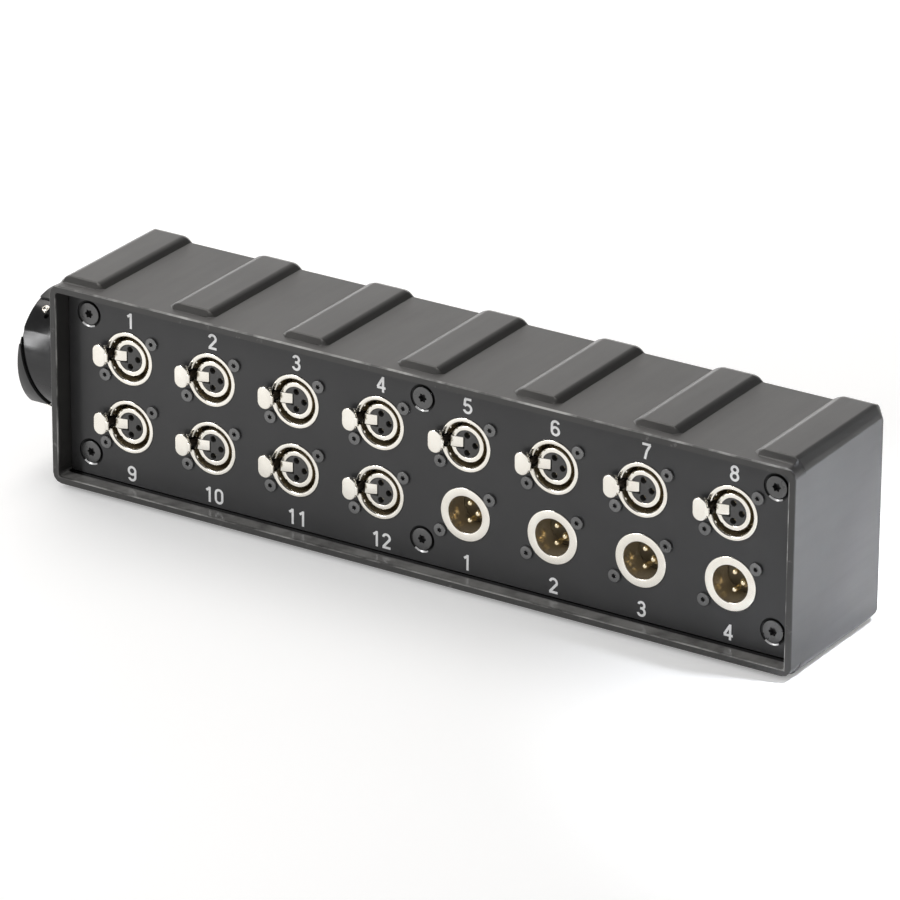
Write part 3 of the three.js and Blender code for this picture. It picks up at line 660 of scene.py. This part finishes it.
def femaleShellMesh():
    size = femaleShell
    curve, steps, proud = size["ringRound"], size["ringRoundSteps"], size["ringProud"]
    turns = [math.radians(90 * step / steps) for step in range(steps + 1)]
    rounded = [(size["grooveOuter"] + curve * (1 - math.cos(turn)), curve * (1 - math.sin(turn)) - proud)
               for turn in turns]
    shell = spunMesh([
        (size["bore"], size["barrelSetback"]), (size["barrelOuter"], size["barrelSetback"]),
        (size["barrelOuter"], size["grooveDepth"]), (size["grooveOuter"], size["grooveDepth"]),
        *rounded, (size["ringRadius"], -proud), (size["ringRadius"], size["depth"]),
        (size["bore"], size["depth"]),
    ], size["steps"], size["soft"], size["softSteps"])
    shell = cutAway(shell, shellCutters())
    corners = [e for e in shell.edges
               if e.is_manifold and e.calc_face_angle(0) > math.radians(size["notchAngle"])
               and all(v.co.y < size["notchDepth"] and v.co.x < -size["keyRadius"]
                       and abs(abs(v.co.z) - size["notchHalf"]) < tiny for v in e.verts)]
    roundEdges(shell, corners, size["notchSoft"], size["notchSoftSteps"], clamped=True)
    half = size["keyWidth"] / 2
    for degrees in size["keyAngles"]:
        key = blockMesh((size["keyRadius"], size["keySetback"], -half),
                        (size["keyRoot"], size["grooveDepth"], half), size["keySoft"])
        absorb(shell, turnedAbout(key, degrees))
    (x0, y0, z0), (x1, y1, z1) = [[part * mm for part in corner] for corner in size["neck"]]
    absorb(shell, blockMesh((x0, y0, z0), (x1, y1, z1), size["neckSoft"]))
    absorb(shell, blockMesh((x0, y0, -z1), (x1, y1, -z0), size["neckSoft"]))
    gap = size["finishGap"]
    for face in shell.faces:
        middle = face.calc_center_median()
        away = math.hypot(middle.x, middle.z)
        inGroove = size["barrelOuter"] - gap < away < size["grooveOuter"] + gap
        face.material_index = int(inGroove and middle.y > size["barrelSetback"] + size["soft"])
    absorb(shell, flangeMesh(flange, size["ringRadius"]))
    return shell


insert = {
    **millimetres(radius=5.85, face=1.0, length=19, circle=3.9, holeRadius=1.45, holeDepth=9, mouthSoft=0.2,
                  contactRadius=1.4, contactBore=1.15, contactFace=4.0, contactFoot=8.9, contactSoft=0.08,
                  tailRadius=0.9, tailLength=6, tailSoft=0.15, pocketInner=1.3, pocketHalf=2.6,
                  pocketDepth=16.5),
    "steps": 64, "holeSteps": 28, "tailSteps": 12, "contactAngles": (90, 0, -90),
}


def contactAt(degrees, radius):
    angle = math.radians(degrees)
    return Vector((radius * math.cos(angle), 0, radius * math.sin(angle)))


# One copy of each piece at each of the connector's three contacts
def atContacts(*pieces):
    bm = bmesh.new()
    for degrees in insert["contactAngles"]:
        for piece in pieces:
            absorb(bm, copyAt(piece, contactAt(degrees, insert["circle"])))
    return bm


def femaleInsertMesh():
    size = insert
    core = rodMesh(size["radius"], size["face"], size["length"], size["steps"], size["mouthSoft"])
    hole = rodMesh(size["holeRadius"], -overrun, size["holeDepth"], size["holeSteps"])
    cutters = [copyAt(hole, contactAt(degrees, size["circle"])) for degrees in size["contactAngles"]]
    cutters.append(blockMesh((-size["radius"] - overrun, -overrun, -size["pocketHalf"]),
                             (-size["pocketInner"], size["pocketDepth"], size["pocketHalf"])))
    return cutAway(core, cutters)


# Sprung contact sleeves in the holes, and the solder tails behind them
def femaleContactsMesh():
    size = insert
    sleeve = tubeMesh(size["contactBore"], size["contactRadius"], size["contactFace"], size["contactFoot"],
                      size["holeSteps"], size["contactSoft"])
    return atContacts(sleeve, tailMesh())


def tailMesh():
    size = insert
    return rodMesh(size["tailRadius"], size["length"], size["length"] + size["tailLength"], size["tailSteps"],
                   size["tailSoft"])


latch = {
    **millimetres(proud=4.2, thick=1.9, left=-16.2, right=-9.5, half=5.2, corner=3.3, soft=0.7,
                  armOuter=-11.45, armInner=-10.1, armHalf=1.4, armSoft=0.3, barDepth=12.8, barThick=1.5,
                  tongueOuter=-7.75, tongueInner=-2.3, tongueHalf=2.35, tongueSetback=0.5, tipDepth=2.8,
                  stemTop=1.5, stemThick=1.4, neckSoft=0.45),
    "cornerSteps": 9, "softSteps": 4, "softAngle": 60, "tongueSlope": 0.22,
    "neck": ((-11, -3.95, -2.4), (-8.6, -2.9, 1.7)), "neckSoftSteps": 3,
}


# Thumb tab, arm, bar and tongue in one piece; the arm's faces have material index 1, a dark brown painted
# shade
def latchMesh():
    size = latch
    centre = ((size["left"] + size["right"]) / 2, -size["proud"], 0)
    bm = plateMesh(size["right"] - size["left"], 2 * size["half"], size["thick"], size["corner"],
                   size["cornerSteps"], centre)
    softenEdges(bm, size["soft"], size["softSteps"], size["softAngle"])
    barBack = size["barDepth"] + size["barThick"]
    stem = size["tongueOuter"] + size["stemThick"]
    arm, tongue, soft = size["armHalf"], size["tongueHalf"], size["armSoft"]
    for low, high in (
        ((size["armOuter"], -size["proud"] + size["thick"] / 2, -arm), (size["armInner"], barBack, arm)),
        ((size["armOuter"], size["barDepth"], -arm), (stem, barBack, arm)),
        ((size["tongueOuter"], size["stemTop"], -tongue), (stem, barBack, tongue)),
    ):
        absorb(bm, blockMesh(low, high, soft))
    tip = blockMesh((size["tongueOuter"], size["tongueSetback"], -tongue),
                    (size["tongueInner"], size["tongueSetback"] + size["tipDepth"], tongue), soft)
    for v in tip.verts:
        v.co.y += size["tongueSlope"] * (v.co.x - size["tongueOuter"])
    absorb(bm, tip)
    for face in bm.faces:
        inArm = all(abs(v.co.z) < arm + tiny for v in face.verts)
        face.material_index = int(inArm and face.calc_center_median().x < size["tongueOuter"])
    low, high = [[part * mm for part in corner] for corner in size["neck"]]
    absorb(bm, blockMesh(low, high, size["neckSoft"], size["neckSoftSteps"]))
    return bm


# Copies the shaped masters to each connector; a piece is (word, master, finishes, slot, end of its node)
def buildConnectors(kind, pieces):
    for name, number, place in connectorsOf(kind):
        for word, master, finishNames, slot, end in pieces:
            nodes = [f"{name}_{end}"] if end else []
            body = f"latch_{number}" if end == "latch" else "root"
            finishPiece(copyAt(master, place), f"{kind}put{word}{number}", finishNames, nodes, body)
        addSmallScrews(f"{kind}putScrews{number}", place)


buildConnectors("in", (
    ("Shell", femaleShellMesh(), "satinNickel shadedGroove", "nickel", "shell"),
    ("Insert", femaleInsertMesh(), "contactHolder", "black_insert", "insert"),
    ("Contacts", femaleContactsMesh(), "goldContact", "nickel", ""),
    ("Latch", latchMesh(), "satinNickel brownedSteel", "nickel", "latch"),
))
print("female connectors made")


# Male connectors

maleShell = {
    **millimetres(ringRadius=11.95, ringProud=0.3, bore=8.15, floor=14, depth=15.5, innerBore=6.3, soft=0.4,
                  boreFront=0.5, finishGap=0.1),
    "steps": 72, "softSteps": 3,
}
malePins = {
    **millimetres(discRadius=7.95, discFront=12, discBack=13.7, coreRadius=6.2, discSoft=0.2, pinRadius=1.2,
                  pinTip=3, tipSoft=0.75, collarRadius=1.9, collarTop=11.5, collarFoot=12.2),
    "pinSteps": 28,
}
dome = {"leastAngle": 60, "steps": 5}


# A round pin whose tip is domed
def pinMesh(radius, tip, foot, tipSoft, steps):
    pin = rodMesh(radius, tip, foot, steps)
    edge = [e for e in pin.edges if e.calc_face_angle(0) > math.radians(dome["leastAngle"])
            and all(v.co.y < tip + tiny for v in e.verts)]
    roundEdges(pin, edge, tipSoft, dome["steps"])
    return pin


def maleShellMesh():
    size = maleShell
    shell = spunMesh([
        (size["bore"], -size["ringProud"]), (size["ringRadius"], -size["ringProud"]),
        (size["ringRadius"], size["depth"]), (size["innerBore"], size["depth"]),
        (size["innerBore"], size["floor"]), (size["bore"], size["floor"]),
    ], size["steps"], size["soft"], size["softSteps"])
    # Faces inside the bore take the second finish, a darker, warmer copy of nickel: painted reflection and
    # shade
    for face in shell.faces:
        middle = face.calc_center_median()
        inside = math.hypot(middle.x, middle.z) < size["bore"] + size["finishGap"]
        face.material_index = int(inside and middle.y > size["boreFront"])
    absorb(shell, flangeMesh(flange, size["ringRadius"]))
    return shell


def maleInsertMesh():
    size = malePins
    return spunMesh([
        (0, size["discFront"]), (size["discRadius"], size["discFront"]),
        (size["discRadius"], size["discBack"]), (size["coreRadius"], size["discBack"]),
        (size["coreRadius"], insert["length"]), (0, insert["length"]),
    ], insert["steps"], size["discSoft"])


def malePinsMesh():
    size = malePins
    pin = pinMesh(size["pinRadius"], size["pinTip"], size["discFront"] + overrun, size["tipSoft"],
                  size["pinSteps"])
    collar = tubeMesh(size["pinRadius"], size["collarRadius"], size["collarTop"], size["collarFoot"],
                      size["pinSteps"])
    return atContacts(pin, collar, tailMesh())


buildConnectors("out", (
    ("Shell", maleShellMesh(), "satinNickel polishedBore", "nickel", "shell"),
    ("Insert", maleInsertMesh(), "brownHolder", "black_insert", "insert"),
    ("Pins", malePinsMesh(), "goldContact", "nickel", ""),
))
print("male connectors made")


# Channel numbers

numbers = {
    **millimetres(rise=33.1, drop=37.0, proud=0.04, layer=0.008, pen=1.1, advance=5.2, middle=3.5, aside=0.8),
    "arcSteps": 24, "nudged": {"xlr_in_7": 1.0 * mm, "xlr_out_4": -1.2 * mm},
}
# Pen strokes in millimetres from the foot of each digit: an arc has its middle, radius, first angle and
# clockwise sweep, a line has its two ends
digits = {
    "0": [("arc", 0, 4.83, 1.65, 180, 180), ("arc", 0, 2.17, 1.65, 0, 180),
          ("line", -1.65, 2.17, -1.65, 4.83), ("line", 1.65, 2.17, 1.65, 4.83)],
    "1": [("line", 0.45, 0, 0.45, 7), ("line", 0.3, 6.35, -1.2, 5.25)],
    "2": [("arc", 0, 4.86, 1.62, 170, 208), ("line", 1.42, 4.2, -1.45, 0.8),
          ("line", -1.95, 0.52, 2.05, 0.52)],
    "3": [("arc", -0.05, 5.1, 1.38, 165, 255), ("arc", -0.05, 2.12, 1.6, 90, 255),
          ("line", -0.6, 3.72, 0, 3.72)],
    "4": [("line", 0.85, 0, 0.85, 7), ("line", -2.1, 2.05, 2.1, 2.05), ("line", -1.85, 2.2, 0.75, 6.55)],
    "5": [("line", -1.35, 6.48, 1.75, 6.48), ("line", -1.15, 6.6, -1.55, 3.4),
          ("arc", -0.05, 2.3, 1.78, 145, 305)],
    "6": [("arc", 0.03, 2.2, 1.68, 0, 360), ("line", -1.65, 2.2, -1.62, 4.85),
          ("arc", 0.03, 4.83, 1.65, 180, 158)],
    "7": [("line", -2, 6.48, 2, 6.48), ("line", 1.7, 6.4, 0.2, 3.6), ("line", 0.2, 3.7, -0.65, 0)],
    "8": [("arc", 0, 5.1, 1.38, 0, 360), ("arc", 0, 2.12, 1.6, 0, 360)],
    "9": [("arc", -0.03, 4.8, 1.68, 0, 360), ("line", 1.65, 4.8, 1.62, 2.15),
          ("arc", -0.03, 2.17, 1.65, 0, 158)],
}


def strokeMesh(stroke, proud):
    kind, *facts = stroke
    half = numbers["pen"] / 2
    if kind == "arc":
        x, z, radius = [fact * mm for fact in facts[:3]]
        start, sweep = facts[3:]
        inner, outer = radius - half, radius + half
        bm = bmesh.new()
        spinPiece(bm, [(inner, -proud), (outer, -proud), (outer, proud), (inner, proud)], numbers["arcSteps"],
                  math.radians(sweep), -math.radians(start))
        return copyAt(bm, (x, 0, z))
    x0, z0, x1, z1 = [fact * mm for fact in facts]
    bm = blockMesh((0, -proud, -half), (math.hypot(x1 - x0, z1 - z0), proud, half))
    return copyAt(turnedAbout(bm, math.degrees(math.atan2(z1 - z0, x1 - x0))), (x0, 0, z0))


def addNumber(name, text, x, z):
    bm = bmesh.new()
    for place, digit in enumerate(text):
        shift = (place - (len(text) - 1) / 2) * numbers["advance"]
        for index, stroke in enumerate(digits[digit]):
            proud = numbers["proud"] + index * numbers["layer"]
            absorb(bm, copyAt(strokeMesh(stroke, proud), (x + shift, panelFace, z - numbers["middle"])))
    finishPiece(bm, name, "whiteInk")


def buildNumbers():
    for kind in ("in", "out"):
        for name, number, centre in connectorsOf(kind):
            upper = centre.z > middleHeight
            z = middleHeight + (numbers["rise"] if upper else -numbers["drop"])
            x = centre.x + numbers["aside"] + numbers["nudged"].get(name, 0)
            addNumber(f"{kind}putNumber{number}", number, x, z)


buildNumbers()
print("numbers made")


# Multipin connector on the left end

multipinLow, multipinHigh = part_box("multipin_shell")
multipin = {
    **millimetres(radius=25.8, bore=23, neckRadius=20, neckBore=17.6, seat=16, back=22.9, soft=0.5,
                  grooveWidth=1.5, grooveDepth=1.2, grooveRise=11.5, grooveStart=-0.6, holeSetback=8.6,
                  holeRadius=1.2, holeDepth=2, bandProud=0.9, bandFront=0.35, bandRoot=0.4, bandSoft=0.15,
                  studSetback=6.5, studProud=0.6, studSoft=0.2),
    "length": multipinHigh.x - multipinLow.x, "steps": 112, "softSteps": 3, "grooveTurn": 86,
    "grooveSteps": 40, "entry": 36, "starts": 3, "holeAngle": 51, "holeSteps": 24, "bandEntry": 19,
    "bandAngle": 50, "studAngle": 58, "studSteps": 32,
    "stud": ((0, 0.5), (0.7, 0.5), (1.0, 0), (1.8, 0), (1.8, 2), (0, 2)),
}
multipinFlange = {
    **flange,
    **millimetres(width=53, height=53, thickness=3, front=21.9, corner=4.5),
}
multipinScrew = {
    **millimetres(headRadius=3.2, headTop=19.8, rimHeight=2.0, neckRadius=1.7, neckDepth=21.8, length=29.4,
                  socketRadius=1.3, socketDepth=1.2, soft=0.5),
    "lobeShare": 0.16, "segments": 48,
}
multipinInsert = {
    **millimetres(face=11.9, back=15.9, radius=22.9, stemRadius=17.5, soft=0.3, rimInner=21.2,
                  rimHeight=0.8, pitch=4.6, pinRadius=0.8, pinTip=5.9, tipSoft=0.45, bossRadius=1.5,
                  bossTop=11.55, bossSoft=0.12),
    "rings": 4, "pinSteps": 16, "bossSteps": 20,
}


# Lays a piece turned about the depth axis along the box, mouth to the left
def layAlong(bm):
    return copyAt(turned(bm, -90, "Z"), (multipinLow.x, 0, middleHeight))


# A ramp groove's cutter: a small square swept round and inwards
def grooveCutter(degrees):
    size = multipin
    bm = bmesh.new()
    half = size["grooveWidth"] / 2
    verts = [bm.verts.new((size["radius"] + out, size["grooveStart"] + along, 0)) for out, along in
             ((-size["grooveDepth"], -half), (overrun, -half), (overrun, half), (-size["grooveDepth"], half))]
    face = bm.faces.new(verts)
    steps = size["grooveSteps"]
    bmesh.ops.spin(bm, geom=[face, *face.edges, *verts], cent=(0, 0, 0), axis=(0, 1, 0),
                   dvec=(0, size["grooveRise"] / steps, 0), angle=math.radians(size["grooveTurn"]),
                   steps=steps, use_duplicate=False)
    bmesh.ops.holes_fill(bm, edges=[e for e in bm.edges if e.is_boundary], sides=0)
    bmesh.ops.recalc_face_normals(bm, faces=bm.faces)
    return turnedAbout(bm, degrees)


# The raised band between the mouth and a groove, widening as the groove runs inwards
def bandMesh(degrees):
    size = multipin
    bm = bmesh.new()
    inner, outer = size["radius"] - size["bandRoot"], size["radius"] + size["bandProud"]
    front = size["bandFront"]
    back = front + mm
    slope = size["grooveRise"] / math.radians(size["grooveTurn"])
    turn = size["grooveTurn"] - (size["entry"] - size["bandEntry"])
    spinPiece(bm, [(inner, front), (outer, front), (outer, back), (inner, back)], size["grooveSteps"],
              math.radians(turn), -math.radians(size["bandEntry"]))
    for v in bm.verts:
        if v.co.y > (front + back) / 2:
            along = math.radians(size["entry"]) - math.atan2(v.co.z, v.co.x)
            v.co.y = size["grooveStart"] + slope * along - size["grooveWidth"] / 2
    softenEdges(bm, size["bandSoft"], leastAngle=size["bandAngle"])
    return turnedAbout(bm, degrees)


# Stands a piece turned about the depth axis out of the barrel, its top at the given height over the surface
def standOut(bm, proud, setback, degrees):
    return turnedAbout(copyAt(turned(bm, 90, "Z"), (multipin["radius"] + proud, setback, 0)), degrees)


def buildMultipinShell():
    size = multipin
    turns = [360 / size["starts"] * i for i in range(size["starts"])]
    tube = spunMesh([
        (size["bore"], 0), (size["radius"], 0), (size["radius"], size["back"]),
        (size["neckRadius"], size["back"]), (size["neckRadius"], size["length"]),
        (size["neckBore"], size["length"]), (size["neckBore"], size["seat"]), (size["bore"], size["seat"]),
    ], size["steps"], size["soft"], size["softSteps"])
    drill = rodMesh(size["holeRadius"], 0, size["holeDepth"] + overrun, size["holeSteps"])
    shell = cutAway(tube, [grooveCutter(size["entry"] + turn) for turn in turns]
                    + [standOut(drill.copy(), overrun, size["holeSetback"], size["holeAngle"] + turn)
                       for turn in turns])
    absorb(shell, flangeMesh(multipinFlange, size["radius"]))
    finishPiece(layAlong(shell), "multipinBarrel", "blackAnodised", ["multipin_shell"])
    stud = spunMesh([(radius * mm, depth * mm) for radius, depth in size["stud"]], size["studSteps"],
                    size["studSoft"])
    bands, studs = bmesh.new(), bmesh.new()
    for turn in turns:
        absorb(bands, bandMesh(turn))
        absorb(studs, standOut(stud.copy(), size["studProud"], size["studSetback"], size["studAngle"] + turn))
    finishPiece(layAlong(bands), "multipinBands", "couplingBlack")
    finishPiece(layAlong(studs), "multipinStuds", "satinNickel")


# Contacts stand in rings round a middle one
def ringPlaces(rings, pitch):
    places = [Vector((0, 0, 0))]
    for ring in range(1, rings + 1):
        places += [contactAt(60 / ring * i, ring * pitch) for i in range(6 * ring)]
    return places


def buildMultipinInsert():
    size = multipinInsert
    rim = size["face"] - size["rimHeight"]
    core = spunMesh([
        (0, size["face"]), (size["rimInner"], size["face"]), (size["rimInner"], rim), (size["radius"], rim),
        (size["radius"], size["back"]), (size["stemRadius"], size["back"]),
        (size["stemRadius"], multipin["length"]), (0, multipin["length"]),
    ], multipin["steps"], size["soft"])
    foot = size["face"] + overrun
    pin = pinMesh(size["pinRadius"], size["pinTip"], foot, size["tipSoft"], size["pinSteps"])
    boss = rodMesh(size["bossRadius"], size["bossTop"], foot, size["bossSteps"], size["bossSoft"])
    pins = bmesh.new()
    for place in ringPlaces(size["rings"], size["pitch"]):
        absorb(core, copyAt(boss, place))
        absorb(pins, copyAt(pin, place))
    finishPiece(layAlong(core), "multipinInsert", "contactHolder", ["multipin_insert"])
    finishPiece(layAlong(pins), "multipinContacts", "goldContact")


def buildMultipinScrews():
    master = screwMesh(multipinScrew)
    for name in sorted(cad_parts):
        if name.startswith("multipin_screw_"):
            low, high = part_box(name)
            place = Vector((-(low.y + high.y) / 2, 0, (low.z + high.z) / 2 - middleHeight))
            finishPiece(layAlong(copyAt(master, place)), f"multipinScrew{name[-1]}", "blackenedSteel",
                        [name])


buildMultipinShell()
buildMultipinInsert()
buildMultipinScrews()
print("multipin connector made")


# Wiring looms keep the CAD shape, since no side shows them
for loomName in ("wiring_loom_upper", "wiring_loom_lower"):
    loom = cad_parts[loomName]
    loom.data.materials.clear()
    loom.data.materials.append(finishes["cableJacket"])


# Studio: pale floor, soft lamps, white surroundings for the camera and for reflections

studio = {
    "floorSize": 6.0, "floorCloud": (3, 2), "floorDull": (0.93, 0.93, 0.93), "floorPale": (0.95, 0.95, 0.95),
    "floorRoughness": 0.8, "floorGlow": 0.24,
    "ambient": 0.4, "horizon": 0.22, "ceiling": 0.42, "ceilingLight": 0.04,
    # Name, place, aim, size, power, colour and spread in degrees
    "lamps": (
        ("overhead", (-0.95, 0.7, 1.7), (0.0, 0.0, 0.05), (1.5, 1.1), 15.0, (1.0, 0.97, 0.94), 180),
        ("front", (-1.2, -1.6, 1.1), (0.0, 0.0, 0.05), (0.3, 1.7), 19.0, (1.0, 1.0, 1.0), 180),
        ("rightFloor", (0.55, 0.1, 0.9), (0.38, 0.05, 0.0), (0.08, 0.08), 0.95, (0.89, 0.92, 1.0), 35),
        ("backLeft", (-1.0, 1.6, 0.85), (0.0, 0.0, 0.09), (1.3, 0.6), 2.1, (1.0, 0.97, 0.94), 180),
        ("horizon", (-1.05, 1.65, 0.24), (0.0, 0.0, 0.09), (1.6, 0.24), 3.4, (1.0, 0.98, 0.96), 180),
    ),
}


def addLamp(name, place, aim, size, power, colour, spread):
    light = bpy.data.lights.new(name, "AREA")
    light.shape = "RECTANGLE"
    light.size, light.size_y = size
    light.energy = power
    light.color = colour
    light.spread = math.radians(spread)
    lamp = addObject(name, light)
    lamp.location = place
    lamp.rotation_euler = (Vector(aim) - Vector(place)).to_track_quat("-Z", "Y").to_euler()


# One for camera, glossy and transmission rays, zero for the others
def addSeen(tree):
    rays = tree.nodes.new("ShaderNodeLightPath")
    seen = rays.outputs["Is Camera Ray"]
    for other in ("Is Glossy Ray", "Is Transmission Ray"):
        seen = calculate(tree, "MAXIMUM", seen, rays.outputs[other])
    return seen


def addFloor():
    bm = bmesh.new()
    bmesh.ops.create_grid(bm, x_segments=1, y_segments=1, size=studio["floorSize"])
    bmesh.ops.translate(bm, verts=bm.verts, vec=(0, 0, cadBox[0][2]))
    floor = toObject(bm, "studioFloor")
    finish, tree, shader = startFinish("paleFloor")
    stops = [(0.3, studio["floorDull"]), (0.7, studio["floorPale"])]
    tone = addRamp(tree, addNoise(tree, *studio["floorCloud"]), stops)
    tree.links.new(tone, shader.inputs["Base Color"])
    shader.inputs["Roughness"].default_value = studio["floorRoughness"]
    shader.inputs["Emission Color"].default_value = (1, 1, 1, 1)
    glow = calculate(tree, "MULTIPLY", addSeen(tree), studio["floorGlow"])
    tree.links.new(glow, shader.inputs["Emission Strength"])
    floor.data.materials.append(finish)


# White round the horizon and darker overhead for the camera and reflections, and a low even light besides
def addWorld():
    world = bpy.data.worlds.new("studioWorld")
    bpy.context.scene.world = world
    world.use_nodes = True
    tree = world.node_tree
    back = tree.nodes["Background"]
    seen = addSeen(tree)
    place = tree.nodes.new("ShaderNodeTexCoord")
    split = tree.nodes.new("ShaderNodeSeparateXYZ")
    tree.links.new(place.outputs["Generated"], split.inputs["Vector"])
    height = split.outputs["Z"]
    sky = addSpread(tree, height, 1.0, studio["ceilingLight"], studio["horizon"], studio["ceiling"])
    level = tree.nodes.new("ShaderNodeMix")
    level.inputs["A"].default_value = studio["ambient"]
    tree.links.new(seen, level.inputs["Factor"])
    tree.links.new(sky, level.inputs["B"])
    back.inputs["Color"].default_value = (1, 1, 1, 1)
    tree.links.new(level.outputs["Result"], back.inputs["Strength"])


for lampFacts in studio["lamps"]:
    addLamp(*lampFacts)
addFloor()
addWorld()
bpy.context.scene.view_settings.view_transform = "Standard"


# Camera at the photograph's angle

camera = {
    "place": (1.35544, -2.15812, 1.14898), "turn": (66.6012, -0.2979, 32.3325),
    "lens": 267.41, "sensor": 36, "reach": 50,
}


def addCamera():
    view = bpy.data.cameras.new("photoCamera")
    view.lens, view.sensor_width = camera["lens"], camera["sensor"]
    view.clip_end = camera["reach"]
    eye = addObject("photoCamera", view)
    eye.location = camera["place"]
    eye.rotation_euler = [math.radians(a) for a in camera["turn"]]
    bpy.context.scene.camera = eye


addCamera()
print("studio and camera set")
